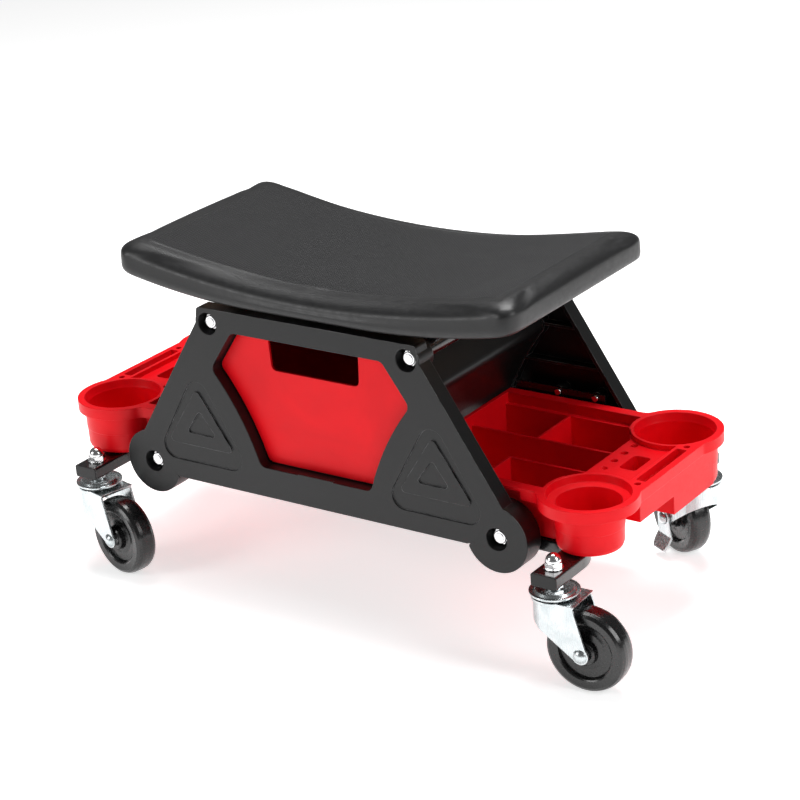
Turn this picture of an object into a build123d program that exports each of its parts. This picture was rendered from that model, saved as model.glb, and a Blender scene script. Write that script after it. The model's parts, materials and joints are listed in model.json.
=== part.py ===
from build123d import *
import math
import os

# Rolling mechanic's seat. Millimetres, +Z up, floor at Z = 0, origin midway between the four castor stems.
# X runs along the seat. -Y is the side that the drawer opens on. "Depth" below means distance from the XZ plane.

# ---- driving dimensions ----
PANEL_FACE = 117.0          # depth of each side panel's outer face
PANEL_SKIN = 4.0
PANEL_FLANGE = 16.0         # depth of the flange round the panel's edge
PANEL_WALL = 3.5
PANEL_TOP_Z = 278.0
PANEL_BOTTOM_Z = 103.0
PANEL_TOP_X = 119.0
BOSS_DEPTH = 22.0
LOWER_BOLT = (190.5, 113.2)  # X and Z of the lower panel bolts
UPPER_BOLT = (108.2, 263.2)  # X and Z of the upper panel bolts
LOWER_BOSS_R = 31.0
TOWER_R = 14.0
LEG_FOOT = (200.5, 140.0)
LEG_SHOULDER = (121.2, 263.0)
NUT_RECESS_R = 10.3
NUT_RECESS_DEPTH = 13.0

WINDOW_TOP = (82.0, 258.0)
WINDOW_KINK = (108.7, 220.0)
WINDOW_FOOT = (61.0, 132.0)
WINDOW_CORNER_R = 8.0
WINDOW_BOW = 5.0            # how far the lower sides of the window bow inwards
WINDOW_WALL = 3.0

SEAT_HALF_X = 214.0
SEAT_HALF_Y = 115.0
SEAT_LOW_Z = 281.5          # underside of the pad at its middle
SEAT_FLAT = 54.0            # half length of the underside's flat middle
SEAT_CURVE = 0.00069        # rise of the underside beyond the flat, per square millimetre
SEAT_THICK = 22.5           # at the middle
SEAT_CREST_RISE = 24.0      # how far the top rises from the middle to each end
SEAT_CORNER_R = 15.0
SEAT_EDGE_R = 16.0
BASE_INSET = 16.0
BASE_THICK = 6.0
CROSS_TUBE_R = 8.0          # the two tubes that join the panels under the seat

STEM_X = 253.6
STEM_Y = 128.0
TUBE_WIDE = 25.0
TUBE_HIGH = 12.0
TUBE_LOW_Z = 94.0
TUBE_WALL = 2.0
TUBE_RUN_Y = 73.0           # depth of the tube's long run
TUBE_END_Y = 144.0
TUBE_BEND_R = 25.0
CROSS_MEMBER_X = 120.0

DRAWER_GAP = 1.3            # all round, between drawer and window
SLEEVE_GAP = 0.4            # all round, between drawer and sleeve
SLEEVE_OUT = 1.4            # how far the sleeve stands outside the window's outline
SLEEVE_REACH = PANEL_FACE - PANEL_FLANGE + 1.9
SCREW_BOSS_R = 5.5
DRAWER_FRONT_Y = -105.0
DRAWER_BACK_Y = 99.0
DRAWER_WALL = 2.5
NOTCH_HALF = 49.5
NOTCH_FOOT_HALF = 48.0
NOTCH_DEEP = 32.5

TRAY_INNER_X = 75.0
TRAY_RIM_Z = 155.0
TRAY_LOW_Z = 107.0
TRAY_WALL = 2.5
TRAY_HALF_RIM = 88.5
TRAY_HALF_FOOT = 82.5
TRAY_LIP_HALF = 96.0
TRAY_LIP_THICK = 3.0
DIVIDER_Z = 145.0
PLATEAU_Z = 150.0
CUP_X = 259.0
CUP_Y = 76.0
CUP_TOP_R = 37.0
FAR_CUP_R = 35.0            # inside of the cup on the +Y side, below its collar
FAR_CUP_TAPER = 0.6
NEAR_CUP_R = 28.5           # inside of the narrower cup on the -Y side, below its collar
NEAR_CUP_TAPER = 1.8
CUP_COLLAR_R = 43.5
CUP_COLLAR_HIGH = 10.5
END_X = 298.0
STRIP_X = 279.0
PLATEAU_X = 230.0
SKIRT_HALF = 56.0           # half width of the skirt under the shelf
SKIRT_STEP_Y = 3.0          # the skirt hangs lower beyond this Y
RAIL_SCREW_X = (124.0, 164.0)
RAIL_SCREW_Z = 158.5

WHEEL_R = 37.5
WHEEL_HALF = 11.0
TRAIL = 31.0
FORK_HALF = 18.0
FORK_STEEL = 2.2
FORK_TOP_Z = 82.0
RACE_R = 22.0
RACE_TOP_Z = 88.0
STEM_R = 4.75
AXLE_R = 4.0
ACORN_R = 6.9
RIVET_R = 6.4
RIVET_HIGH = 3.5
BRAKE_GAP = 2.9             # extra axle length that the brake lever takes
RUNNING = 0.08              # radial clearance of a running fit
BALL_R = 1.9
BALL_RING_R = 14.0
BALLS = 12

# Castor name: side of X, side of Y, direction that the wheel trails in, and whether it has a brake.
CASTORS = {
    "front_right": (1, -1, 2.6, False),
    "front_left": (-1, -1, -12.2, False),
    "rear_right": (1, 1, 150.7, True),
    "rear_left": (-1, 1, 177.0, True),
}


def save(node, shape):
    """Write one node; a list of separate solids becomes one group."""
    solids = shape if isinstance(shape, list) else [shape]
    group = solids[0] if len(solids) == 1 else Compound(children=solids)
    export_step(group, f"parts/{node}.step")


def slab(sketch, near, far):
    """Extrude a sketch drawn in X and Z between two depths on the -Y side."""
    return extrude(Plane.XZ.offset(near) * sketch, far - near, dir=(0, -1, 0))


def plate(sketch, low, high):
    """Extrude a sketch drawn in X and Y between two heights."""
    return extrude(Plane.XY.offset(low) * sketch, high - low, dir=(0, 0, 1))


def block(x0, x1, y0, y1, z0, z1):
    """A box from its lowest to its highest corner."""
    centre = ((x0 + x1) / 2, (y0 + y1) / 2, (z0 + z1) / 2)
    return Pos(*centre) * Box(x1 - x0, y1 - y0, z1 - z0)


def rod(x, z, radius, near, far):
    """A round bar along Y on the -Y side, between two depths."""
    return slab(Pos(x, z) * Circle(radius), near, far)


def post(x, y, radius, low, high):
    """A round bar along Z between two heights."""
    return plate(Pos(x, y) * Circle(radius), low, high)


def far_side(shape):
    """The same piece on the +Y side."""
    return mirror(shape, Plane.XZ)


def other_end(shape):
    """The same piece at the -X end, turned half a turn about Z."""
    return Rot(0, 0, 180) * shape


def left_and_right(point):
    """A point in X and Z with its mirror image at -X."""
    return [point, (-point[0], point[1])]


# ---- side panels ----
def window_outline(grow=0.0):
    """The six-sided window, with its two lower sides bowed inwards."""
    top, kink, foot = WINDOW_TOP, WINDOW_KINK, WINDOW_FOOT
    run_x, run_z = kink[0] - foot[0], kink[1] - foot[1]
    length = math.hypot(run_x, run_z)
    middle = (
        (kink[0] + foot[0]) / 2 - WINDOW_BOW * run_z / length,
        (kink[1] + foot[1]) / 2 + WINDOW_BOW * run_x / length,
    )

    def flip(point):
        return (-point[0], point[1])

    edges = [
        Line(flip(top), top),
        Line(top, kink),
        ThreePointArc(kink, middle, foot),
        Line(foot, flip(foot)),
        ThreePointArc(flip(foot), flip(middle), flip(kink)),
        Line(flip(kink), flip(top)),
    ]
    face = make_face(Wire(edges))
    face = fillet(face.vertices(), WINDOW_CORNER_R)
    return offset(face, amount=grow) if grow else face


def panel_outline(shrink=0.0):
    """The trapezium of the panel with a round foot at each lower bolt."""
    half = [(PANEL_TOP_X, PANEL_TOP_Z), LEG_SHOULDER, LEG_FOOT, LOWER_BOLT, (160.0, PANEL_BOTTOM_Z)]
    points = half + [(-x, z) for x, z in reversed(half)]
    outline = Polygon(*points, align=None)
    if shrink:
        outline = offset(outline, amount=-shrink, kind=Kind.INTERSECTION)
    for x, z in left_and_right(LOWER_BOLT):
        outline += Pos(x, z) * Circle(LOWER_BOSS_R - shrink)
    return outline


def rounded_panel_outline():
    """The panel's outline with soft top corners and soft notches beside its feet."""
    outline = panel_outline()
    notch_half = LOWER_BOLT[0] - math.sqrt(LOWER_BOSS_R**2 - (LOWER_BOLT[1] - PANEL_BOTTOM_Z) ** 2)
    top_corners = [v for v in outline.vertices() if v.Y > PANEL_TOP_Z - 1]
    outline = fillet(top_corners, 3.0)
    notches = [v for v in outline.vertices() if abs(abs(v.X) - notch_half) < 1 and v.Y < LOWER_BOLT[1]]
    return fillet(notches, 3.0)


def triangle(apex, foot_z, left_x, right_x, radius):
    """A rounded triangle standing on a level foot."""
    shape = Polygon((left_x, foot_z), (right_x, foot_z), apex, align=None)
    return fillet(shape.vertices(), radius)


def leg_emboss():
    """Three nested triangles: the outer one sunk, the middle one raised again, the inner one sunk."""
    outer = triangle((129.0, 216.0), 121.5, 74.0, 185.0, 13.0)
    middle = triangle((130.0, 196.5), 138.5, 91.0, 169.0, 4.0)
    inner = triangle((128.5, 175.0), 150.5, 110.0, 146.0, 3.0)
    return (outer - middle) + inner


def side_panel():
    """The near side panel: skin, edge flange, window flange, bosses, ribs, recesses and embossing."""
    outline, window = rounded_panel_outline(), window_outline()
    skin_near = PANEL_FACE - PANEL_SKIN
    flange_near = PANEL_FACE - PANEL_FLANGE
    boss_near = PANEL_FACE - BOSS_DEPTH
    panel = slab(outline, skin_near, PANEL_FACE)
    panel += slab(outline - panel_outline(PANEL_WALL), flange_near, skin_near)
    panel += slab(window_outline(WINDOW_WALL) - window, flange_near + 2, skin_near)
    rib_lines = [Pos(0, z) * Rectangle(420, 2.5) for z in (150.0, 185.0, 222.0)]
    for rib in rib_lines:
        panel += slab((rib & outline) - window_outline(WINDOW_WALL - 0.5), flange_near + 2, skin_near)
    for x, z in left_and_right(LOWER_BOLT):
        ring = Circle(LOWER_BOSS_R) - Circle(LOWER_BOSS_R - PANEL_WALL)
        spokes = Rectangle(2 * LOWER_BOSS_R - 2, 2.5) + Rectangle(2.5, 2 * LOWER_BOSS_R - 2)
        panel += slab(Pos(x, z) * (ring + spokes), boss_near, skin_near)
    for x, z in left_and_right(LOWER_BOLT) + left_and_right(UPPER_BOLT):
        panel += rod(x, z, TOWER_R, boss_near, PANEL_FACE - 1)
    screw_points = [end for x in RAIL_SCREW_X for end in left_and_right((x, RAIL_SCREW_Z))]
    for x, z in screw_points:
        panel += rod(x, z, SCREW_BOSS_R, flange_near, skin_near)
    panel -= slab(window, 90, PANEL_FACE + 1)
    tab = Pos(0, WINDOW_FOOT[1]) * Rectangle(38, 1.8)
    panel += slab(tab, PANEL_FACE - 3, PANEL_FACE)
    for side in (1, -1):
        emboss = leg_emboss() if side == 1 else mirror(leg_emboss(), Plane.YZ)
        panel -= slab(emboss, PANEL_FACE - 1.4, PANEL_FACE + 1)
    for x, z in left_and_right(LOWER_BOLT) + left_and_right(UPPER_BOLT):
        panel -= rod(x, z, NUT_RECESS_R, PANEL_FACE - NUT_RECESS_DEPTH, PANEL_FACE + 1)
        panel -= rod(x, z, 4.2, 90, PANEL_FACE)
    for x, z in screw_points:
        panel -= rod(x, z, 1.6, flange_near - 1, skin_near - 2)
    return round_face_edges(panel)


def round_face_edges(panel):
    """Soften the edges of every opening and recess in the panel's face."""
    level = [face for face in panel.faces() if abs(face.center().Y + PANEL_FACE) < 0.01]
    main = max(level, key=lambda face: face.area)
    rim = [edge for wire in main.inner_wires() for edge in wire.edges()]
    return fillet(rim, 0.6)


# ---- drawer and its sleeve ----
def drawer():
    """An open box with the window's outline, and a finger notch in its front wall."""
    depth = (-DRAWER_BACK_Y, -DRAWER_FRONT_Y)
    outer = window_outline(-DRAWER_GAP)
    shape = slab(outer, *depth)
    inner = window_outline(-DRAWER_GAP - DRAWER_WALL)
    top_z = WINDOW_TOP[1] - DRAWER_GAP
    cavity = slab(inner, depth[0] + DRAWER_WALL, depth[1] - DRAWER_WALL)
    mouth_half = WINDOW_TOP[0] - 6.0
    mouth = block(
        -mouth_half, mouth_half, DRAWER_FRONT_Y + DRAWER_WALL, DRAWER_BACK_Y - DRAWER_WALL, top_z - 8, top_z + 1
    )
    notch = Polygon(
        (-NOTCH_HALF, top_z + 1),
        (-NOTCH_FOOT_HALF, top_z - NOTCH_DEEP),
        (NOTCH_FOOT_HALF, top_z - NOTCH_DEEP),
        (NOTCH_HALF, top_z + 1),
        align=None,
    )
    notch = fillet([v for v in notch.vertices() if v.Y < top_z], 6.0)
    shape -= cavity
    shape -= mouth
    shape -= slab(notch, depth[1] - 2 * DRAWER_WALL, depth[1] + 1)
    return shape


def drawer_sleeve():
    """The sheet sleeve between the panels that the drawer slides in, open at both ends."""
    ring = window_outline(SLEEVE_OUT) - window_outline(SLEEVE_GAP - DRAWER_GAP)
    return slab(ring, -SLEEVE_REACH, SLEEVE_REACH)


def screw(x, z, seat):
    """A pan-head screw along Y that goes into the near panel from inside; seat is the depth under its head."""
    shank = rod(x, z, 1.6, seat, PANEL_FACE - PANEL_FLANGE + 8)
    head = fillet(rod(x, z, 3.4, seat - 2.2, seat).edges().sort_by(Axis.Y)[-1:], 1.0)
    return head + shank


# ---- seat ----
def underside(x):
    """Height of the pad's underside at x: level in the middle, curving up towards the ends."""
    return SEAT_LOW_Z + SEAT_CURVE * max(abs(x) - SEAT_FLAT, 0) ** 2


def underside_edges(half, lift):
    """The underside's curve in X and Z, from -half to half, raised by lift."""
    between = (half + SEAT_FLAT) / 2
    end, bend, flat = [(x, underside(x) + lift) for x in (half, between, SEAT_FLAT)]
    (left_end, left_bend, left_flat) = [(-x, z) for x, z in (end, bend, flat)]
    return [
        ThreePointArc(left_end, left_bend, left_flat),
        Line(left_flat, flat),
        ThreePointArc(flat, bend, end),
    ]


def curved_plate(low_edges, high_edges, half_y):
    """A plate between two curves drawn in X and Z."""
    low_ends = low_edges[0] @ 0, low_edges[-1] @ 1
    high_ends = high_edges[0] @ 0, high_edges[-1] @ 1
    sides = [Line(low_ends[0], high_ends[0]), Line(low_ends[1], high_ends[1])]
    return slab(make_face(Wire(low_edges + high_edges + sides)), -half_y, half_y)


def seat_base():
    """The curved board that stiffens the pad and takes its screws."""
    half_x, half_y = SEAT_HALF_X - BASE_INSET, SEAT_HALF_Y - BASE_INSET
    board = curved_plate(underside_edges(half_x, 0.5), underside_edges(half_x, 0.5 + BASE_THICK), half_y)
    upright = [e for e in board.edges() if e.bounding_box().size.Z > BASE_THICK - 1 and e.bounding_box().size.X < 1]
    return fillet(upright, 10.0)


def seat_pad(base):
    """The foam pad, rounded over its top, with a pocket for the board."""
    middle_z = SEAT_LOW_Z + SEAT_THICK
    end_z = middle_z + SEAT_CREST_RISE
    crest = ThreePointArc((-SEAT_HALF_X, end_z), (0, middle_z), (SEAT_HALF_X, end_z))
    pad = curved_plate(underside_edges(SEAT_HALF_X, 0), [crest], SEAT_HALF_Y)
    upright = [e for e in pad.edges() if e.bounding_box().size.Z > SEAT_THICK - 1 and e.bounding_box().size.X < 1]
    pad = fillet(upright, SEAT_CORNER_R)
    top = [face for face in pad.faces() if face.normal_at().Z > 0.9][0]
    pad = fillet(top.edges(), SEAT_EDGE_R)
    return pad - base - Pos(0, 0, -BASE_THICK / 2) * base


def seat_bracket(x, base):
    """A T-section welded along a cross tube; its flange follows the board."""
    flange = block(x - 18, x + 18, -80, 80, SEAT_LOW_Z - 3, SEAT_LOW_Z + 20)
    flange &= Pos(0, 0, -3) * base
    web = block(x - 2, x + 2, -80, 80, UPPER_BOLT[1], SEAT_LOW_Z + 4)
    bracket = flange + web
    bracket -= base
    bracket -= rod(x, UPPER_BOLT[1], CROSS_TUBE_R, -100, 100)
    return bracket


def build_seat():
    base = seat_base()
    save("seat_pad", seat_pad(base))
    screws = []
    for side, name in ((1, "right"), (-1, "left")):
        x = side * UPPER_BOLT[0]
        bracket = seat_bracket(x, base)
        for y in (-60.0, 60.0):
            for dx in (-11.0, 11.0):
                z = underside(x + dx) + 0.5
                hole = post(x + dx, y, 2.5, z - 8, z + 4)
                shank = post(x + dx, y, 2.5, z - 3.8, z + 4)
                head = post(x + dx, y, 5.0, z - 6.4, z - 3.8)
                bracket -= hole
                base -= hole
                screws.append(shank + head)
        save(f"seat_bracket_{name}", bracket)
    save("seat_base", base)
    save("seat_screws", screws)


# ---- upper cross tubes, rods and nuts ----
def build_upper_joints():
    boss_near = PANEL_FACE - BOSS_DEPTH
    rods = []
    for side, name in ((1, "right"), (-1, "left")):
        x, z = side * UPPER_BOLT[0], UPPER_BOLT[1]
        tube = rod(x, z, CROSS_TUBE_R, -boss_near, boss_near) - rod(x, z, 5.0, -boss_near - 1, boss_near + 1)
        save(f"cross_tube_{name}", tube)
        rods.append(rod(x, z, 4.0, -PANEL_FACE + 4.5, PANEL_FACE - 4.5))
    save("tie_rods", rods)


def nyloc_nut(x, z, seat):
    """An M8 lock nut with a domed collar, seated at a depth and opening outwards."""
    hexagon = slab(Pos(x, z) * RegularPolygon(7.5, 6), seat, seat + 5.0)
    collar = rod(x, z, 6.0, seat + 5.0, seat + 6.6)
    collar = fillet(collar.edges().sort_by(Axis.Y)[:1], 0.8)
    return hexagon + collar - rod(x, z, 4.0, seat - 1, seat + 8)


def build_panel_fasteners():
    seat = PANEL_FACE - NUT_RECESS_DEPTH
    washers, nuts = [], []
    for x, z in left_and_right(LOWER_BOLT) + left_and_right(UPPER_BOLT):
        washer = rod(x, z, 8.5, seat, seat + 1.4) - rod(x, z, 4.2, seat - 1, seat + 2)
        nut = nyloc_nut(x, z, seat + 1.4)
        washers += [washer, far_side(washer)]
        nuts += [nut, far_side(nut)]
    save("panel_washers", washers)
    save("lock_nuts", nuts)


# ---- frame ----
def tube_path():
    """Centre line of one bent tube, on the -Y side."""
    return FilletPolyline(
        (-STEM_X, -TUBE_END_Y, 0),
        (-STEM_X, -TUBE_RUN_Y, 0),
        (STEM_X, -TUBE_RUN_Y, 0),
        (STEM_X, -TUBE_END_Y, 0),
        radius=TUBE_BEND_R,
    )


def frame_tube():
    """A rectangular tube bent twice in plan, with a hole for a castor stem near each end."""
    path = Pos(0, 0, TUBE_LOW_Z + TUBE_HIGH / 2) * tube_path()
    start = Plane(origin=path @ 0, z_dir=path % 0, x_dir=(1, 0, 0))
    outer = Rectangle(TUBE_WIDE, TUBE_HIGH)
    inner = Rectangle(TUBE_WIDE - 2 * TUBE_WALL, TUBE_HIGH - 2 * TUBE_WALL)
    outer = fillet(outer.vertices(), 2.0)
    inner = fillet(inner.vertices(), 0.6)
    tube = sweep(start * outer, path=path) - sweep(start * inner, path=path)
    for x in (-STEM_X, STEM_X):
        tube -= post(x, -STEM_Y, STEM_R + 0.1, TUBE_LOW_Z - 1, TUBE_LOW_Z + TUBE_HIGH + 1)
    return tube


def tube_plug(x):
    """A moulded plug that closes the end of a tube."""
    half = TUBE_WIDE / 2 - TUBE_WALL
    z0, z1 = TUBE_LOW_Z + TUBE_WALL, TUBE_LOW_Z + TUBE_HIGH - TUBE_WALL
    stub = block(x - half + 0.5, x + half - 0.5, -TUBE_END_Y, -TUBE_END_Y + 7, z0 + 0.5, z1 - 0.5)
    edge = TUBE_WIDE / 2
    cap = block(x - edge, x + edge, -TUBE_END_Y - 1.6, -TUBE_END_Y, TUBE_LOW_Z, TUBE_LOW_Z + TUBE_HIGH)
    cap = fillet(cap.edges().filter_by(Axis.Y), 2.0)
    cap = fillet(cap.faces().sort_by(Axis.Y)[0].edges(), 0.8)
    return cap + stub


def panel_bracket(x):
    """An angle welded under the tube that stands up against the panel's foot."""
    back = PANEL_FACE - BOSS_DEPTH
    upright = slab(Pos(x, (90.8 + 126.0) / 2) * Rectangle(30, 126.0 - 90.8), back - 4, back)
    top = [e for e in upright.edges().filter_by(Axis.Y) if e.center().Z > 120]
    upright = fillet(top, 8.0)
    foot = block(x - 15, x + 15, -back, -TUBE_RUN_Y + 10, TUBE_LOW_Z - 3.2, TUBE_LOW_Z)
    return upright + foot - rod(x, LOWER_BOLT[1], 4.2, back - 6, back + 2)


def bracket_bolt(x):
    """A hexagon bolt from inside the frame, out through bracket and panel."""
    seat = PANEL_FACE - BOSS_DEPTH - 4
    head = slab(Pos(x, LOWER_BOLT[1]) * RegularPolygon(7.4, 6), seat - 4.8, seat)
    return head + rod(x, LOWER_BOLT[1], 4.0, seat, PANEL_FACE - 4.5)


def build_frame():
    tube = frame_tube()
    save("frame_tube_front", tube)
    save("frame_tube_rear", far_side(tube))
    plugs = [tube_plug(STEM_X), tube_plug(-STEM_X)]
    save("tube_end_plugs", plugs + [far_side(p) for p in plugs])
    brackets = [panel_bracket(LOWER_BOLT[0]), panel_bracket(-LOWER_BOLT[0])]
    save("panel_brackets", brackets + [far_side(b) for b in brackets])
    bolts = [bracket_bolt(LOWER_BOLT[0]), bracket_bolt(-LOWER_BOLT[0])]
    save("bracket_bolts", bolts + [far_side(b) for b in bolts])
    reach = TUBE_RUN_Y - TUBE_WIDE / 2
    for side, name in ((1, "right"), (-1, "left")):
        x = side * CROSS_MEMBER_X
        bar = block(x - 12.5, x + 12.5, -reach, reach, TUBE_LOW_Z, TUBE_LOW_Z + TUBE_HIGH)
        bar = fillet(bar.edges().filter_by(Axis.Y), 2.0)
        hollow = block(x - 10.5, x + 10.5, -reach - 1, reach + 1, TUBE_LOW_Z + 2, TUBE_LOW_Z + TUBE_HIGH - 2)
        save(f"cross_member_{name}", bar - hollow)


# ---- trays, drawn for the +X end ----
def both_cups(radius):
    """Two circles on the cup centres."""
    return Pos(CUP_X, CUP_Y) * Circle(radius) + Pos(CUP_X, -CUP_Y) * Circle(radius)


def centred_rect(x0, x1, half_y):
    """A rectangle in X and Y, even about the X axis."""
    return Pos((x0 + x1) / 2, 0) * Rectangle(x1 - x0, 2 * half_y)


def rim_outline():
    """Outline of the rim in plan: lip, flare round the cups, and the end strip."""
    outline = centred_rect(TRAY_INNER_X - 1.5, CUP_X, TRAY_LIP_HALF)
    outline += both_cups(CUP_COLLAR_R) + centred_rect(CUP_X, END_X, CUP_Y)
    inward = [
        v
        for v in outline.vertices()
        if 205 < v.X < 240 or (v.X > CUP_X + 20 and abs(v.Y) < CUP_Y)
    ]
    return fillet(inward, 9.0)


def cup_solid(body_r, taper):
    """The outside of a cup below its collar, with a small step three fifths of the way down."""
    step_z = TRAY_RIM_Z - 0.6 * (TRAY_RIM_Z - TRAY_LOW_Z)
    collar_z = TRAY_RIM_Z - CUP_COLLAR_HIGH
    top_r = body_r + TRAY_WALL
    foot_r = top_r - taper
    step_r = foot_r + taper / 3
    profile = make_face(
        Polyline(
            (0, TRAY_LOW_Z),
            (foot_r - 3.5, TRAY_LOW_Z),
            (foot_r - 1.0, TRAY_LOW_Z + 1.2),
            (foot_r, TRAY_LOW_Z + 4.0),
            (step_r, step_z),
            (step_r + 0.4, step_z + 0.4),
            (top_r, collar_z + 1),
            (0, collar_z + 1),
            close=True,
        )
    )
    return revolve(Plane.XZ * profile, Axis.Z)


def cup_cavity(body_r, taper):
    """The inside of a cup, with a rounded foot and a wider mouth inside the collar."""
    low = TRAY_LOW_Z + TRAY_WALL
    foot_r = body_r - taper
    ledge_z = TRAY_RIM_Z - CUP_COLLAR_HIGH + TRAY_WALL
    profile = make_face(
        Polyline(
            (0, low),
            (foot_r - 3, low),
            (foot_r, low + 3),
            (body_r, ledge_z),
            (CUP_TOP_R - 1.5, ledge_z + 1.5),
            (CUP_TOP_R, TRAY_RIM_Z),
            (CUP_TOP_R, 170),
            (0, 170),
            close=True,
        )
    )
    return revolve(Plane.XZ * profile, Axis.Z)


def tray_shell():
    """The outside of the tray, before its hollows are cut."""
    foot = centred_rect(TRAY_INNER_X, PLATEAU_X + 3, TRAY_HALF_FOOT)
    rim = centred_rect(TRAY_INNER_X, PLATEAU_X + 3, TRAY_HALF_RIM)
    shell = loft([Plane.XY.offset(TRAY_LOW_Z) * foot, Plane.XY.offset(TRAY_RIM_Z - 1) * rim], ruled=True)
    shell += Pos(CUP_X, CUP_Y, 0) * cup_solid(FAR_CUP_R, FAR_CUP_TAPER)
    shell += Pos(CUP_X, -CUP_Y, 0) * cup_solid(NEAR_CUP_R, NEAR_CUP_TAPER)
    outline = rim_outline()
    shell += plate(outline, TRAY_RIM_Z - TRAY_LIP_THICK, TRAY_RIM_Z)
    collar = outline & centred_rect(203, 310, 140)
    shell += plate(collar, TRAY_RIM_Z - CUP_COLLAR_HIGH, TRAY_RIM_Z)
    shell += block(PLATEAU_X, END_X - 1.5, -SKIRT_HALF, SKIRT_STEP_Y, 126, TRAY_RIM_Z - 1)
    shell += block(PLATEAU_X, END_X - 1.5, SKIRT_STEP_Y, CUP_Y, 108.5, TRAY_RIM_Z - 1)
    return shell


def well_outline(half_y):
    """The area inside the rim that is open above the dividers."""
    area = centred_rect(TRAY_INNER_X + TRAY_WALL, PLATEAU_X, half_y)
    return area - both_cups(CUP_TOP_R + TRAY_WALL + 1)


def compartments():
    """Plan outlines of the compartments, each a little inside the walls."""
    x0, x1, x2 = TRAY_INNER_X + TRAY_WALL, 147.0, PLATEAU_X
    half = TRAY_HALF_FOOT - TRAY_WALL
    inner = TRAY_WALL / 2
    lane = 23.0
    areas = [
        (x0, x1 - inner, lane + inner, half),
        (x1 + inner, x2, lane + inner, half),
        (x1 + inner, x2, -half, -lane - inner),
        (x0, x2, -lane + inner, lane - inner),
        (x0, x1 - inner, -half, -lane + 2 * inner),
    ]
    cups = both_cups(CUP_TOP_R + TRAY_WALL + 1)
    for ax0, ax1, ay0, ay1 in areas:
        yield Pos((ax0 + ax1) / 2, (ay0 + ay1) / 2) * Rectangle(ax1 - ax0, ay1 - ay0) - cups


def tray():
    """One tool tray: two cups, five compartments, a drilled shelf and an end strip with a slot."""
    body = tray_shell()
    body -= plate(well_outline(TRAY_HALF_RIM - TRAY_WALL - 0.8), DIVIDER_Z, TRAY_RIM_Z + 1)
    for area in compartments():
        body -= plate(area, TRAY_LOW_Z + TRAY_WALL, TRAY_RIM_Z + 1)
    shelf = centred_rect(PLATEAU_X - 6, STRIP_X, CUP_Y) - both_cups(CUP_TOP_R + TRAY_WALL)
    body -= plate(shelf, PLATEAU_Z, TRAY_RIM_Z + 1)
    step = SKIRT_STEP_Y
    for y0, y1, low in [(-SKIRT_HALF + TRAY_WALL, step, 120), (step + TRAY_WALL, SKIRT_HALF - TRAY_WALL, 100)]:
        middle = ((PLATEAU_X + END_X - 1.5) / 2, (y0 + y1) / 2)
        hollow = Pos(*middle) * Rectangle(END_X - 1.5 - PLATEAU_X - 2 * TRAY_WALL, y1 - y0)
        hollow -= both_cups(CUP_TOP_R + TRAY_WALL + 0.7)
        body -= plate(hollow, low, PLATEAU_Z - 3)
    pocket = Pos(259, 3) * RectangleRounded(17, 30, 4)
    lining = Pos(259, 3) * RectangleRounded(21, 34, 6)
    body += plate(lining, 124, PLATEAU_Z - 1)
    body -= plate(pocket, 126.5, TRAY_RIM_Z)
    slot = Pos(287, 0) * RectangleRounded(10, 74, 1.5)
    body -= plate(slot, 130, TRAY_RIM_Z + 1)
    for y in (-43.5, 43.5):
        body -= post(288, y, 3.0, 146, TRAY_RIM_Z + 1)
    for y in (-36, -18, 0, 18, 36):
        body -= post(240, y, 3.5, 143, TRAY_RIM_Z + 1)
    body -= Pos(CUP_X, CUP_Y, 0) * cup_cavity(FAR_CUP_R, FAR_CUP_TAPER)
    body -= Pos(CUP_X, -CUP_Y, 0) * cup_cavity(NEAR_CUP_R, NEAR_CUP_TAPER)
    return body


def tray_rail():
    """An angle screwed inside the near panel; its ledge carries the tray's lip."""
    back = PANEL_FACE - PANEL_FLANGE
    ledge_z = TRAY_RIM_Z - TRAY_LIP_THICK - 0.3
    rail = block(78, 174, -back, -back + 1.6, ledge_z - 2, ledge_z + 11)
    rail += block(78, 174, -back, -TRAY_HALF_RIM - 2, ledge_z - 2, ledge_z)
    for x in RAIL_SCREW_X:
        rail -= rod(x, RAIL_SCREW_Z, 1.8, back - 3, back + 1)
    return rail


def build_trays():
    body = tray()
    save("tool_tray_right", body)
    save("tool_tray_left", other_end(body))
    rail = tray_rail()
    save("tray_rail_right_front", rail)
    save("tray_rail_right_rear", far_side(rail))
    save("tray_rail_left_front", mirror(rail, Plane.YZ))
    save("tray_rail_left_rear", far_side(mirror(rail, Plane.YZ)))
    seat = PANEL_FACE - PANEL_FLANGE - 1.6
    screws = [screw(side * x, RAIL_SCREW_Z, seat) for x in RAIL_SCREW_X for side in (1, -1)]
    save("rail_screws", screws + [far_side(s) for s in screws])


# ---- castors, drawn with the stem on the Z axis and the wheel trailing towards +X ----
def castor_stem():
    """The fixed half of the swivel: threaded stem, king-pin head and upper raceway."""
    low = FORK_TOP_Z - 6.0
    shaft = post(0, 0, STEM_R, low + 2, 114)
    head = fillet(post(0, 0, 7.5, low, low + 2.4).edges().sort_by(Axis.Z)[:1], 1.0)
    profile = make_face(
        Polyline(
            (0, RACE_TOP_Z - 2),
            (15.5, RACE_TOP_Z - 2),
            (17.5, RACE_TOP_Z - 4.6),
            (19.3, RACE_TOP_Z - 4.6),
            (RACE_R, RACE_TOP_Z - 3.4),
            (RACE_R, RACE_TOP_Z - 1.6),
            (18.5, RACE_TOP_Z - 2.4),
            (16.5, RACE_TOP_Z),
            (0, RACE_TOP_Z),
            close=True,
        )
    )
    collar = post(0, 0, 7.2, RACE_TOP_Z - 0.5, RACE_TOP_Z + 1.5)
    return shaft + head + revolve(Plane.XZ * profile, Axis.Z) + collar


def stem_nut():
    """The hexagon nut under the tube, on the stem."""
    body = plate(RegularPolygon(8.6, 6), RACE_TOP_Z + 1.5, TUBE_LOW_Z)
    return body - post(0, 0, STEM_R + 0.1, 80, 100)


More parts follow.
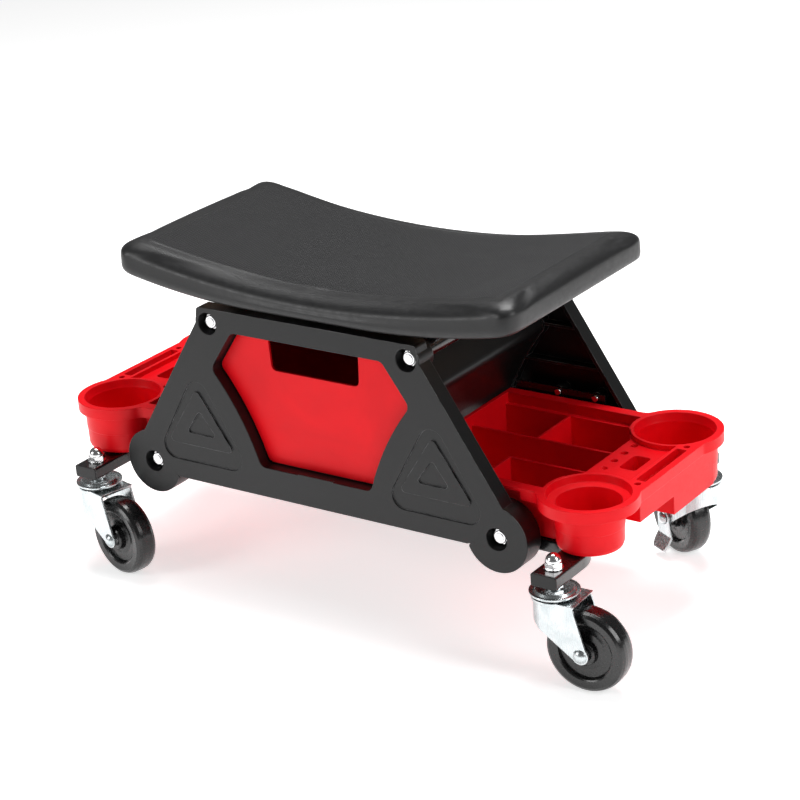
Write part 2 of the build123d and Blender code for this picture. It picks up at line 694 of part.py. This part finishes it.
def acorn_nut():
    """The domed nut on top of the tube, blind inside, with its washer face."""
    seat = TUBE_LOW_Z + TUBE_HIGH
    flange = post(0, 0, 8.6, seat, seat + 1.0)
    body = flange + plate(RegularPolygon(8.2, 6), seat + 1.0, seat + 6.0)
    dome = post(0, 0, ACORN_R, seat + 5.5, seat + 6.6) + Pos(0, 0, seat + 6.6) * Sphere(ACORN_R)
    return body + dome - post(0, 0, STEM_R + 0.1, seat - 1, 114.5)


def fork():
    """The pressed fork: top plate, hood round the front, and two tapering legs."""
    rear_x = 24.0
    outer = Circle(19.0) & Rectangle(60, 2 * FORK_HALF)
    outer += Pos(rear_x / 2, 0) * Rectangle(rear_x, 2 * FORK_HALF)
    inner = Circle(19.0 - FORK_STEEL) & Rectangle(60, 2 * (FORK_HALF - FORK_STEEL))
    inner += Pos(rear_x, 0) * Rectangle(2 * rear_x, 2 * (FORK_HALF - FORK_STEEL))
    outer += Pos(30, 0) * Rectangle(20, 2 * FORK_HALF)
    seat = plate(Circle(RACE_R - 1.5), FORK_TOP_Z - 2.5, FORK_TOP_Z)
    shell = plate(outer, 26, FORK_TOP_Z) - plate(inner, 20, FORK_TOP_Z - 2.5)
    low_r = 7.6
    side = make_face(
        Polyline(
            (-24, FORK_TOP_Z + 1),
            (-24, 70),
            (-16, 62),
            (TRAIL - 6.4, WHEEL_R - 4.2),
            (TRAIL + 7.4, WHEEL_R - 1.8),
            (25.5, FORK_TOP_Z - 3),
            (27.5, FORK_TOP_Z + 1),
            close=True,
        )
    )
    side = side + Pos(TRAIL, WHEEL_R) * Circle(low_r)
    body = (shell & slab(side, -40, 40)) + seat
    body -= post(0, 0, STEM_R + RUNNING, 60, 100)
    body -= slab(Pos(TRAIL, WHEEL_R) * Circle(AXLE_R), -40, 40)
    return body


def bearing_balls():
    """The ring of balls between fork and upper raceway."""
    ring = []
    for i in range(BALLS):
        turn = 2 * math.pi * i / BALLS
        at = (BALL_RING_R * math.cos(turn), BALL_RING_R * math.sin(turn), FORK_TOP_Z + BALL_R + 0.05)
        ring.append(Pos(*at) * Sphere(BALL_R))
    return ring


def axle(braked):
    """The riveted axle, longer on the +Y side where it also holds a brake lever."""
    reach = FORK_HALF + (BRAKE_GAP if braked else 0)
    pin = slab(Pos(TRAIL, WHEEL_R) * Circle(AXLE_R), -reach, FORK_HALF)

    return pin + rivet_head(-FORK_HALF, -1) + rivet_head(reach, 1)


def rivet_head(at, way):
    """A domed rivet head that stands on the plane Y = at and points to +Y or -Y."""
    ball_r = (RIVET_R**2 + RIVET_HIGH**2) / (2 * RIVET_HIGH)
    ball = Pos(TRAIL, at + way * (RIVET_HIGH - ball_r), WHEEL_R) * Sphere(ball_r)
    reach = sorted([-at, -at - way * (RIVET_HIGH + 1)])
    return ball & slab(Pos(TRAIL, WHEEL_R) * Circle(RIVET_R + 1), *reach)


def wheel():
    """A one-piece moulded wheel: rounded tread, dished faces, hub."""
    half = WHEEL_HALF
    points = [
        (6.0, 13.4), (9.5, 13.4), (11.0, 12.2), (12.0, 7.0), (17.0, 6.0), (24.0, 6.4), (25.6, 9.6), (27.0, 10.4),
        (33.0, half), (35.6, 9.4), (37.1, 6.4), (WHEEL_R, 3.2),
    ]
    outline = points + [(r, -y) for r, y in reversed(points)]
    profile = make_face(Polyline(*outline, close=True))
    turned = revolve(Plane.XY * profile, Axis.Y)
    return Pos(TRAIL, 0, WHEEL_R) * turned


def wheel_bush():
    """The steel tube that the wheel turns on."""
    tube = slab(Pos(TRAIL, WHEEL_R) * Circle(6.0), -15.4, 15.4)
    return tube - slab(Pos(TRAIL, WHEEL_R) * Circle(AXLE_R + RUNNING), -20, 20)


def brake_lever():
    """A stamped lever that turns on the axle: round eye, tapered arm, and a foot pad flared outwards."""
    near = FORK_HALF + 0.4
    steel = 2.0
    eye = Pos(TRAIL, WHEEL_R) * Circle(9.5)
    arm = Polygon((TRAIL - 9, 40), (TRAIL - 13, 21), (TRAIL + 9, 21), (TRAIL + 9, 38), align=None)
    plate_part = far_side(slab(eye + arm, near, near + steel))
    pad_profile = Polygon(
        (near, 21.2), (near + steel, 21.2), (near + 9.6, 8.6), (near + 8.0, 7.4), (near, 19.0), align=None
    )
    pad = extrude(Plane.YZ.offset(TRAIL - 13) * pad_profile, 22, dir=(1, 0, 0))
    pad &= plate(Pos(TRAIL - 2, near - 2.4) * RectangleRounded(22, 24, 5.0), 0, 30)
    lever = plate_part + pad
    return lever - far_side(slab(Pos(TRAIL, WHEEL_R) * Circle(AXLE_R + RUNNING), near - 1, near + steel + 1))


def build_castors():
    tops, unders = [], []
    for name, (side_x, side_y, turn, braked) in CASTORS.items():
        fixed = Pos(side_x * STEM_X, side_y * STEM_Y, 0)
        turned = fixed * Rot(0, 0, turn)
        save(f"castor_stem_{name}", fixed * castor_stem())
        save(f"castor_fork_{name}", turned * fork())
        save(f"swivel_balls_{name}", [turned * ball for ball in bearing_balls()])
        save(f"castor_axle_{name}", turned * axle(braked))
        save(f"wheel_{name}", turned * wheel())
        save(f"wheel_bush_{name}", turned * wheel_bush())
        if braked:
            save(f"brake_lever_{name}", turned * brake_lever())
        tops.append(fixed * acorn_nut())
        unders.append(fixed * stem_nut())
    save("acorn_nuts", tops)
    save("stem_nuts", unders)


def build_panels():
    panel = side_panel()
    save("side_panel_front", panel)
    save("side_panel_rear", far_side(panel))


def build_drawer():
    save("drawer", drawer())
    save("drawer_sleeve", drawer_sleeve())


os.makedirs("parts", exist_ok=True)
build_seat()
build_panels()
build_upper_joints()
build_panel_fasteners()
build_frame()
build_drawer()
build_trays()
build_castors()
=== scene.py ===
import json
import math

import bmesh
import bpy
import numpy as np
from mathutils import Matrix, Vector


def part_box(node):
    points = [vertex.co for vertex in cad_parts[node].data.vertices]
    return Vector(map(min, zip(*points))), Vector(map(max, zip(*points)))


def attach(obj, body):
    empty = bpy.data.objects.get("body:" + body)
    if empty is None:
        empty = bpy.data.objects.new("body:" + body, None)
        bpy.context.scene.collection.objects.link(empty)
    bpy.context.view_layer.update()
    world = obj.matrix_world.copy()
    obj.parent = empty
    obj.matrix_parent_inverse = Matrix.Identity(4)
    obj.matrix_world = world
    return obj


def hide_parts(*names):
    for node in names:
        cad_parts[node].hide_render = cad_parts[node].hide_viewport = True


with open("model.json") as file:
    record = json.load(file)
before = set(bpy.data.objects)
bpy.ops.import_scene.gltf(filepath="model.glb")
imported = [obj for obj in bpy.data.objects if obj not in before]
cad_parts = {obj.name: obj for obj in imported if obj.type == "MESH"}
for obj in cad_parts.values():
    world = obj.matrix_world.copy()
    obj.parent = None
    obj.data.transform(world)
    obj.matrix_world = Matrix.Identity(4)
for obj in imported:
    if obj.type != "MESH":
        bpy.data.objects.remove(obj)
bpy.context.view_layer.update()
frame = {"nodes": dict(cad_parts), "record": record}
pad_low, pad_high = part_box("seat_pad")

# Metres. +X runs along the seat, -Y is the drawer side, the floor is at Z = 0.

# ---- camera and light ----
CAMERA_PLACE = Vector((1.1913, -1.6128, 0.9729))
CAMERA_YAW = math.radians(-36.12)
CAMERA_PITCH = math.radians(21.97)
CAMERA_ROLL = math.radians(-4.103)
CAMERA_LENS = 105.2

# ---- seat pad ----
PAD_GRID = 0.006            # spacing of the pad's mesh
PAD_BORDER = 0.024          # width of the smooth border round the grained top
PAD_CORNER_R = 0.016
PAD_THICK = 0.0225          # at the middle
PAD_FLAT = 0.054            # half length of the underside's level middle
PAD_CURVE = 0.69            # rise of the underside beyond it, in metres per square metre
PAD_CREST_RISE = 0.024      # rise of the top from the middle to each end
PAD_SHOULDER_WIDE = 0.0200  # width and height of the rounded shoulder
PAD_SHOULDER_HIGH = 0.0125
PAD_SHOULDER_STEPS = 9
PAD_SHOULDER_START = 12     # degrees from level at the shoulder's top
PAD_SHOULDER_TURN = 76      # degrees that the shoulder turns through
PAD_LOW_PART = 0.009        # points below this follow the underside
PAD_POCKET_INSET = 0.0155
PAD_POCKET_HIGH = 0.0068
PAD_SWELL_CAP = 0.0018      # the furthest that pressure may move a point
PAD_HELD_PART = 0.010       # points below this are held still while the skin swells
PAD_FRAMES = 20
PAD_DIAMOND = 0.0052        # spacing of the pressed diamonds along X and Y

# ---- floor and lights: name, place, aim, size in metres, power in watts ----
FLOOR_WIDE = 14.0
FLOOR_GLOW = 0.62
WORLD_STRENGTH = 0.15
LIGHTS = [
    ("overhead", (-0.1, 0.45, 2.0), (0, 0, 0.1), (1.3, 0.9), 46.0),
    ("front", (-1.3, -2.0, 1.1), (0, 0, 0.15), (1.0, 1.0), 17.0),
    ("side", (2.0, -0.1, 1.2), (0, 0, 0.15), (0.6, 1.2), 15.0),
]


# ---- node helpers ----
class Finish:
    """A material with its node tree, and short calls that add nodes to it."""

    def __init__(self, name, colour, roughness, metallic=0.0):
        self.material = bpy.data.materials.new(name)
        self.material.use_nodes = True
        self.tree = self.material.node_tree
        self.shader = self.tree.nodes["Principled BSDF"]
        self.shader.inputs["Base Color"].default_value = (*colour, 1.0)
        self.shader.inputs["Roughness"].default_value = roughness
        self.shader.inputs["Metallic"].default_value = metallic
        self.place = self.node("ShaderNodeTexCoord").outputs["Object"]
        self.normal = None

    def node(self, kind, **settings):
        made = self.tree.nodes.new(kind)
        for key, value in settings.items():
            setattr(made, key, value)
        return made

    def link(self, output, target):
        self.tree.links.new(output, target)

    def stretched(self, scale):
        """Object coordinates multiplied by a vector."""
        mapping = self.node("ShaderNodeMapping")
        mapping.inputs["Scale"].default_value = scale
        self.link(self.place, mapping.inputs["Vector"])
        return mapping.outputs["Vector"]

    def noise(self, scale, detail=3.0, roughness=0.55, place=None, distortion=0.0):
        noise = self.node("ShaderNodeTexNoise")
        noise.inputs["Scale"].default_value = scale
        noise.inputs["Detail"].default_value = detail
        noise.inputs["Roughness"].default_value = roughness
        noise.inputs["Distortion"].default_value = distortion
        self.link(place or self.place, noise.inputs["Vector"])
        return noise.outputs["Fac"]

    def voronoi(self, scale):
        cells = self.node("ShaderNodeTexVoronoi")
        cells.inputs["Scale"].default_value = scale
        self.link(self.place, cells.inputs["Vector"])
        return cells.outputs["Distance"]

    def spread(self, value, low, high, to_low=0.0, to_high=1.0):
        """Map a value from one range to another, and clamp it."""
        spread = self.node("ShaderNodeMapRange")
        for name, number in (("From Min", low), ("From Max", high), ("To Min", to_low), ("To Max", to_high)):
            spread.inputs[name].default_value = number
        self.link(value, spread.inputs["Value"])
        return spread.outputs["Result"]

    def maths(self, operation, first, second=0.0):
        """Combine two values; each is a number or a node's output."""
        sum_node = self.node("ShaderNodeMath", operation=operation)
        for slot, value in enumerate((first, second)):
            if isinstance(value, (int, float)):
                sum_node.inputs[slot].default_value = value
            else:
                self.link(value, sum_node.inputs[slot])
        return sum_node.outputs["Value"]

    def blend(self, share, first, second):
        """Mix two colours; each is a colour or a node's output."""
        mix = self.node("ShaderNodeMix", data_type="RGBA")
        self.link(share, mix.inputs["Factor"])
        for name, value in (("A", first), ("B", second)):
            socket = [s for s in mix.inputs if s.name == name and s.type == "RGBA"][0]
            if isinstance(value, tuple):
                socket.default_value = (*value, 1.0)
            else:
                self.link(value, socket)
        return [s for s in mix.outputs if s.type == "RGBA"][0]

    def bump(self, height, depth, strength=1.0):
        """Stack a bump on the ones before; depth is in metres."""
        bump = self.node("ShaderNodeBump")
        bump.inputs["Strength"].default_value = strength
        bump.inputs["Distance"].default_value = depth
        self.link(height, bump.inputs["Height"])
        if self.normal:
            self.link(self.normal, bump.inputs["Normal"])
        self.normal = bump.outputs["Normal"]

    def soft_edges(self, radius):
        """Round every edge in shading, and return a mask that is 1 on edges."""
        bevel = self.node("ShaderNodeBevel", samples=6)
        bevel.inputs["Radius"].default_value = radius
        plain = self.node("ShaderNodeNewGeometry").outputs["Normal"]
        dot = self.node("ShaderNodeVectorMath", operation="DOT_PRODUCT")
        self.link(bevel.outputs["Normal"], dot.inputs[0])
        self.link(plain, dot.inputs[1])
        self.normal = bevel.outputs["Normal"]
        return self.spread(dot.outputs["Value"], 0.995, 0.8)

    def colour(self, output):
        self.link(output, self.shader.inputs["Base Color"])

    def rough(self, output):
        self.link(output, self.shader.inputs["Roughness"])

    def done(self):
        if self.normal:
            self.link(self.normal, self.shader.inputs["Normal"])
        return self.material


# ---- materials ----
def moulded_plastic(name, colour, worn, roughness, grain):
    """Injection moulded plastic: fine spark grain, faint flow marks, and lighter edges that are partly
    rubbed wear and partly a painted edge highlight.
    """
    finish = Finish(name, colour, roughness)
    edge = finish.soft_edges(0.0009)
    flow = finish.spread(finish.noise(9.0, 4.0, distortion=0.6), 0.35, 0.7)
    shade = finish.blend(flow, colour, tuple(0.82 * c for c in colour))
    # Edges are lightened toward the worn colour: partly rubbed wear, partly a painted edge highlight.
    scuff_and_edge_highlight = finish.maths("MULTIPLY", edge, finish.spread(finish.noise(70.0, 4.0), 0.36, 0.60))
    finish.colour(finish.blend(scuff_and_edge_highlight, shade, worn))
    marks = finish.noise(420.0, 4.0, 0.7)
    finish.rough(finish.spread(marks, 0.3, 0.7, roughness - 0.05, roughness + 0.09))
    finish.bump(finish.noise(2600.0, 2.0, 0.6), grain)
    finish.bump(finish.noise(38.0, 2.0), 0.00012)
    return finish


def black_plastic():
    # The pale edge colour here is mostly a painted edge highlight, with some rubbed wear.
    finish = moulded_plastic("black_plastic", (0.0055, 0.0055, 0.0058), (0.22, 0.22, 0.225), 0.34, 0.00005)
    finish.shader.inputs["Specular IOR Level"].default_value = 0.34
    return finish.done()


def red_plastic():
    # The brighter red edge colour is a painted rim highlight, with some rubbed wear.
    finish = moulded_plastic("red_plastic", (0.84, 0.0030, 0.0090), (0.92, 0.03, 0.04), 0.36, 0.00002)
    finish.shader.inputs["Specular IOR Level"].default_value = 0.16
    finish.shader.inputs["Subsurface Weight"].default_value = 0.06
    finish.shader.inputs["Subsurface Radius"].default_value = (0.004, 0.0008, 0.0006)
    return finish.done()


def wheel_plastic():
    # The lighter edge colour here is partly a painted edge highlight and partly rubbed wear.
    finish = moulded_plastic("wheel_black", (0.0045, 0.0045, 0.0048), (0.03, 0.03, 0.03), 0.24, 0.00001)
    finish.shader.inputs["Coat Weight"].default_value = 0.25
    finish.shader.inputs["Coat Roughness"].default_value = 0.12
    return finish.done()


def black_paint():
    """Gloss powder coat: orange peel, dust in the low spots, bare chips on edges."""
    finish = Finish("black_steel", (0.012, 0.012, 0.013), 0.24)
    edge = finish.soft_edges(0.0012)
    chips = finish.maths("MULTIPLY", edge, finish.spread(finish.noise(240.0, 6.0, 0.7), 0.55, 0.66))
    dust = finish.spread(finish.noise(14.0, 5.0), 0.45, 0.75)
    shade = finish.blend(dust, (0.004, 0.004, 0.0045), (0.009, 0.009, 0.0095))
    finish.colour(finish.blend(chips, shade, (0.13, 0.13, 0.135)))
    finish.rough(finish.spread(finish.noise(60.0, 4.0), 0.3, 0.75, 0.17, 0.34))
    finish.bump(finish.noise(700.0, 2.0), 0.00005)
    finish.shader.inputs["Coat Weight"].default_value = 0.35
    finish.shader.inputs["Coat Roughness"].default_value = 0.09
    return finish.done()


def zinc_plate():
    """Bright zinc plate over pressed steel: cool tint, drawn lines, faint spangle, and a painted highlight
    along every edge.
    """
    finish = Finish("zinc_steel", (0.60, 0.63, 0.64), 0.26, 1.0)
    edge = finish.soft_edges(0.0010)
    cloud = finish.spread(finish.noise(55.0, 5.0, distortion=0.4), 0.3, 0.72)
    tint = finish.blend(cloud, (0.66, 0.69, 0.70), (0.47, 0.52, 0.53))
    # Painted highlight: every edge is lightened toward a bright zinc colour.
    finish.colour(finish.blend(edge, tint, (0.84, 0.86, 0.87)))
    lines = finish.noise(900.0, 3.0, 0.6, place=finish.stretched((1.0, 1.0, 0.06)))
    finish.rough(finish.spread(lines, 0.3, 0.7, 0.18, 0.36))
    finish.bump(lines, 0.00003)
    finish.bump(finish.voronoi(480.0), 0.00002)
    return finish.done()


def bright_plate():
    """Polished plate on nuts, screws and balls, with a painted highlight along every edge."""
    finish = Finish("bright_steel", (0.78, 0.78, 0.79), 0.13, 1.0)
    edge = finish.soft_edges(0.0006)
    stain = finish.spread(finish.noise(380.0, 5.0), 0.4, 0.75)
    shade = finish.blend(stain, (0.82, 0.82, 0.83), (0.60, 0.60, 0.61))
    # Painted highlight: every edge is lightened toward a brighter plate colour.
    finish.colour(finish.blend(edge, shade, (0.92, 0.92, 0.93)))
    finish.rough(finish.spread(finish.noise(800.0, 3.0), 0.3, 0.7, 0.08, 0.24))
    finish.bump(finish.noise(1500.0, 2.0), 0.00001)
    return finish.done()


def board_wood():
    """Bare plywood under the pad, with rings drawn out along X."""
    finish = Finish("seat_board", (0.42, 0.29, 0.17), 0.62)
    grain = finish.noise(40.0, 6.0, 0.65, place=finish.stretched((0.12, 1.6, 1.6)), distortion=1.2)
    finish.colour(finish.blend(finish.spread(grain, 0.35, 0.68), (0.50, 0.36, 0.22), (0.27, 0.17, 0.09)))
    fibre = finish.noise(900.0, 3.0, 0.6, place=finish.stretched((0.05, 1.0, 1.0)))
    finish.rough(finish.spread(fibre, 0.3, 0.7, 0.52, 0.74))
    finish.bump(fibre, 0.00008)
    return finish.done()


def pad_border():
    """The smooth skin round the pad's edge: satin vinyl with a very fine leather crease."""
    finish = Finish("seat_border", (0.010, 0.010, 0.011), 0.38)
    flow = finish.spread(finish.noise(22.0, 4.0, distortion=0.5), 0.35, 0.7)
    finish.colour(finish.blend(flow, (0.007, 0.007, 0.0075), (0.0045, 0.0045, 0.005)))
    finish.rough(finish.spread(finish.noise(190.0, 5.0), 0.3, 0.7, 0.34, 0.47))
    finish.bump(finish.voronoi(1500.0), 0.00004)
    finish.bump(finish.noise(60.0, 3.0), 0.00010)
    finish.shader.inputs["Sheen Weight"].default_value = 0.04
    return finish.done()


def pad_grain():
    """The pad's top: small raised diamonds pressed into the vinyl, with painted shade in the grooves between
    them, rubbed smoother where people sit.
    """
    finish = Finish("seat_grain", (0.015, 0.015, 0.016), 0.50)
    apart = finish.node("ShaderNodeSeparateXYZ")
    finish.link(finish.place, apart.inputs["Vector"])
    turn = 2 * math.pi / PAD_DIAMOND
    one_way = finish.maths("ADD", apart.outputs["X"], apart.outputs["Y"])
    other_way = finish.maths("SUBTRACT", apart.outputs["X"], apart.outputs["Y"])
    waves = [finish.maths("SINE", finish.maths("MULTIPLY", way, turn)) for way in (one_way, other_way)]
    diamonds = finish.spread(finish.maths("MULTIPLY", *waves), -0.55, 0.75)
    worn = finish.spread(finish.noise(7.0, 4.0, distortion=0.7), 0.38, 0.68)
    # Painted shade: the grooves between the diamonds are coloured darker than the raised tops.
    diamonds_with_painted_groove_shade = finish.blend(diamonds, (0.0025, 0.0025, 0.003), (0.020, 0.020, 0.021))
    finish.colour(finish.blend(worn, diamonds_with_painted_groove_shade, (0.011, 0.011, 0.012)))
    finish.rough(finish.spread(worn, 0.0, 1.0, 0.56, 0.47))
    finish.bump(diamonds, 0.00070)
    finish.bump(finish.noise(1300.0, 3.0, 0.65), 0.00012)
    finish.shader.inputs["Sheen Weight"].default_value = 0.04
    finish.shader.inputs["Specular IOR Level"].default_value = 0.30
    return finish.done()


# ---- seat pad ----
def underside_height(x):
    """Height of the pad's underside at x, above the CAD pad's lowest point."""
    return pad_low.z + PAD_CURVE * max(abs(x) - PAD_FLAT, 0) ** 2


def top_height(x):
    """Height of the pad's top at x, an arc that dips at the middle."""
    radius = (pad_high.x**2 + PAD_CREST_RISE**2) / (2 * PAD_CREST_RISE)
    return pad_low.z + PAD_THICK + radius - math.sqrt(radius**2 - x**2)


def pad_height(x, height):
    """Height of a pad point: low points follow the underside, high points follow the top."""
    if height <= PAD_LOW_PART:
        return underside_height(x) + height
    return top_height(x) - (PAD_THICK - height)


def pad_profile():
    """Inset and height of each ring, from the border's inner edge down the side and into the pocket."""
    rings = [(PAD_BORDER - 0.0008, PAD_THICK - 0.0001), (PAD_BORDER - 0.0016, PAD_THICK - 0.0005)]
    for i in range(PAD_SHOULDER_STEPS + 1):
        turn = math.radians(PAD_SHOULDER_START + PAD_SHOULDER_TURN * i / PAD_SHOULDER_STEPS)
        inset = PAD_SHOULDER_WIDE * (1 - math.sin(turn))
        high = PAD_THICK - 0.0004 - PAD_SHOULDER_HIGH * (1 - math.cos(turn))
        rings.append((inset, high))
    rings += [(0.0, 0.0075), (0.0001, 0.0045), (0.0005, 0.0022)]
    rings += [(0.0014, 0.0008), (0.0030, 0.0001), (0.0060, 0.0)]
    rings += [(PAD_POCKET_INSET, 0.0), (PAD_POCKET_INSET + 0.0004, 0.0006)]
    rings += [(PAD_POCKET_INSET + 0.0005, PAD_POCKET_HIGH)]
    return rings


def rounded_point(x, y, half_x, half_y, radius):
    """Move a point near a rectangle's corner onto the corner's arc."""
    centre_x, centre_y = half_x - radius, half_y - radius
    if abs(x) <= centre_x or abs(y) <= centre_y:
        return x, y
    away_x, away_y = abs(x) - centre_x, abs(y) - centre_y
    length = math.hypot(away_x, away_y)
    reach = max(away_x, away_y)
    scale = reach / length if length else 1.0
    return (
        math.copysign(centre_x + away_x * scale, x),
        math.copysign(centre_y + away_y * scale, y),
    )


def pad_mesh():
    """The pad as one closed mesh: a grid on top, rings round the side, and a grid in the pocket."""
    full_x, full_y = pad_high.x, pad_high.y
    count_x = round(2 * full_x / PAD_GRID)
    count_y = round(2 * full_y / PAD_GRID)
    mesh = bmesh.new()

    def grid_point(i, j, inset, height, radius):
        half_x, half_y = full_x - inset, full_y - inset
        x = half_x * (2 * i / count_x - 1)
        y = half_y * (2 * j / count_y - 1)
        x, y = rounded_point(x, y, half_x, half_y, radius)
        return mesh.verts.new((x, y, pad_height(x, height)))

    def cap(inset, height, radius):
        columns = range(count_x + 1)
        rows = range(count_y + 1)
        return [[grid_point(i, j, inset, height, radius) for j in rows] for i in columns]

    edge = [(i, 0) for i in range(count_x)] + [(count_x, j) for j in range(count_y)]
    edge += [(i, count_y) for i in range(count_x, 0, -1)] + [(0, j) for j in range(count_y, 0, -1)]
    top = cap(PAD_BORDER, PAD_THICK, 0.004)
    pocket = cap(PAD_POCKET_INSET + 0.0006, PAD_POCKET_HIGH, 0.004)
    loops = [[top[i][j] for i, j in edge]]
    for inset, height in pad_profile():
        radius = max(PAD_CORNER_R - 0.5 * inset, 0.004)
        loops.append([grid_point(i, j, inset, height, radius) for i, j in edge])
    loops.append([pocket[i][j] for i, j in edge])
    for i in range(count_x):
        for j in range(count_y):
            mesh.faces.new((top[i][j], top[i + 1][j], top[i + 1][j + 1], top[i][j + 1])).material_index = 1
            mesh.faces.new((pocket[i][j], pocket[i][j + 1], pocket[i + 1][j + 1], pocket[i + 1][j]))
    for upper, lower in zip(loops, loops[1:]):
        for k in range(len(upper)):
            after = (k + 1) % len(upper)
            mesh.faces.new((upper[k], lower[k], lower[after], upper[after]))
    bmesh.ops.recalc_face_normals(mesh, faces=mesh.faces)
    for face in mesh.faces:
        face.smooth = True
    data = bpy.data.meshes.new("seat_cushion")
    mesh.to_mesh(data)
    mesh.free()
    return data


def swell(pad):
    """Put the skin under pressure, held along its lower side, so that the top and shoulders fill out."""
    start = np.array([v.co for v in pad.data.vertices])
    held = pad.vertex_groups.new(name="held")
    for index, (x, y, z) in enumerate(start):
        height = z - underside_height(x)
        held.add([index], 1.0 if height < PAD_HELD_PART else 0.0, "REPLACE")
    cloth = pad.modifiers.new("skin", "CLOTH")
    settings = cloth.settings
    settings.quality = 6
    settings.mass = 0.4
    settings.tension_stiffness = 25
    settings.compression_stiffness = 25
    settings.shear_stiffness = 10
    settings.bending_stiffness = 6
    settings.use_pressure = True
    settings.uniform_pressure_force = 4.0
    settings.vertex_group_mass = "held"
    settings.effector_weights.gravity = 0.0
    scene = bpy.context.scene
    scene.frame_start = 1
    scene.frame_end = PAD_FRAMES
    cloth.point_cache.frame_start = 1
    cloth.point_cache.frame_end = PAD_FRAMES
    for step in range(1, PAD_FRAMES + 1):
        scene.frame_set(step)
    solved = pad.evaluated_get(bpy.context.evaluated_depsgraph_get())
    after = np.array([v.co for v in solved.data.vertices])
    move = after - start
    reach = np.linalg.norm(move, axis=1, keepdims=True)
    move *= np.minimum(1.0, PAD_SWELL_CAP / np.maximum(reach, 1e-9))
    pad.modifiers.remove(cloth)
    pad.vertex_groups.clear()
    for vertex, place in zip(pad.data.vertices, start + move):
        vertex.co = place
    scene.frame_set(1)


def build_pad():
    """Swell the pad's skin, refine it, and put it in the place of the CAD pad."""
    pad = bpy.data.objects.new("seat_cushion", pad_mesh())
    bpy.context.scene.collection.objects.link(pad)
    swell(pad)
    finer = pad.modifiers.new("finer", "SUBSURF")
    finer.levels = 1
    finer.render_levels = 1
    with bpy.context.temp_override(object=pad):
        bpy.ops.object.modifier_apply(modifier=finer.name)
    pad.data.materials.append(pad_border())
    pad.data.materials.append(pad_grain())
    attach(pad, "frame")
    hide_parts("seat_pad")


# ---- CAD pieces ----
def dress_nodes():
    """Give every CAD node the finish of its material slot."""
    finishes = {
        "black_plastic": black_plastic(),
        "red_plastic": red_plastic(),
        "wheel_black": wheel_plastic(),
        "black_steel": black_paint(),
        "zinc_steel": zinc_plate(),
        "bright_steel": bright_plate(),
        "seat_board": board_wood(),
    }
    for part in frame["record"]["subparts"]:
        finish = finishes.get(part["material_slot"])
        node = frame["nodes"][part["node"]]
        if finish is None:
            continue
        for slot in node.material_slots:
            slot.material = finish


# ---- stage ----
def build_floor():
    """A pale floor that glows a little, so that it stays white far from the lights."""
    bpy.ops.mesh.primitive_plane_add(size=FLOOR_WIDE, location=(0, 0, 0))
    floor = bpy.context.object
    floor.name = "floor"
    finish = Finish("floor", (0.93, 0.93, 0.93), 0.62)
    finish.colour(finish.blend(finish.noise(1.4, 2.0), (0.94, 0.94, 0.94), (0.91, 0.91, 0.912)))
    finish.shader.inputs["Specular IOR Level"].default_value = 0.12
    finish.shader.inputs["Emission Color"].default_value = (1.0, 1.0, 1.0, 1.0)
    finish.shader.inputs["Emission Strength"].default_value = FLOOR_GLOW
    floor.data.materials.append(finish.done())


def area_light(name, place, aim, size, power):
    """A rectangular lamp that faces a point."""
    lamp = bpy.data.lights.new(name, "AREA")
    lamp.shape = "RECTANGLE"
    lamp.size, lamp.size_y = size
    lamp.energy = power
    holder = bpy.data.objects.new(name, lamp)
    holder.location = place
    holder.rotation_euler = (Vector(aim) - Vector(place)).to_track_quat("-Z", "Y").to_euler()
    bpy.context.scene.collection.objects.link(holder)


def build_lights():
    for light in LIGHTS:
        area_light(*light)
    world = bpy.data.worlds.new("studio")
    world.use_nodes = True
    sky = world.node_tree.nodes["Background"]
    sky.inputs["Color"].default_value = (1.0, 1.0, 1.0, 1.0)
    sky.inputs["Strength"].default_value = WORLD_STRENGTH
    bpy.context.scene.world = world
    bpy.context.scene.view_settings.view_transform = "Standard"


def build_camera():
    """The camera, aimed by its yaw, pitch and roll."""
    lens = bpy.data.cameras.new("camera")
    lens.lens = CAMERA_LENS
    lens.sensor_width = 36.0
    lens.clip_end = 60.0
    camera = bpy.data.objects.new("camera", lens)
    bpy.context.scene.collection.objects.link(camera)
    forward = Vector((
        math.sin(CAMERA_YAW) * math.cos(CAMERA_PITCH),
        math.cos(CAMERA_YAW) * math.cos(CAMERA_PITCH),
        -math.sin(CAMERA_PITCH),
    ))
    right = Vector((math.cos(CAMERA_YAW), -math.sin(CAMERA_YAW), 0))
    up = right.cross(forward)
    turned_right = math.cos(CAMERA_ROLL) * right + math.sin(CAMERA_ROLL) * up
    turned_up = -math.sin(CAMERA_ROLL) * right + math.cos(CAMERA_ROLL) * up
    axes = Matrix((turned_right, turned_up, -forward)).transposed()
    camera.matrix_world = Matrix.Translation(CAMERA_PLACE) @ axes.to_4x4()
    bpy.context.scene.camera = camera


build_pad()
dress_nodes()
build_floor()
build_lights()
build_camera()
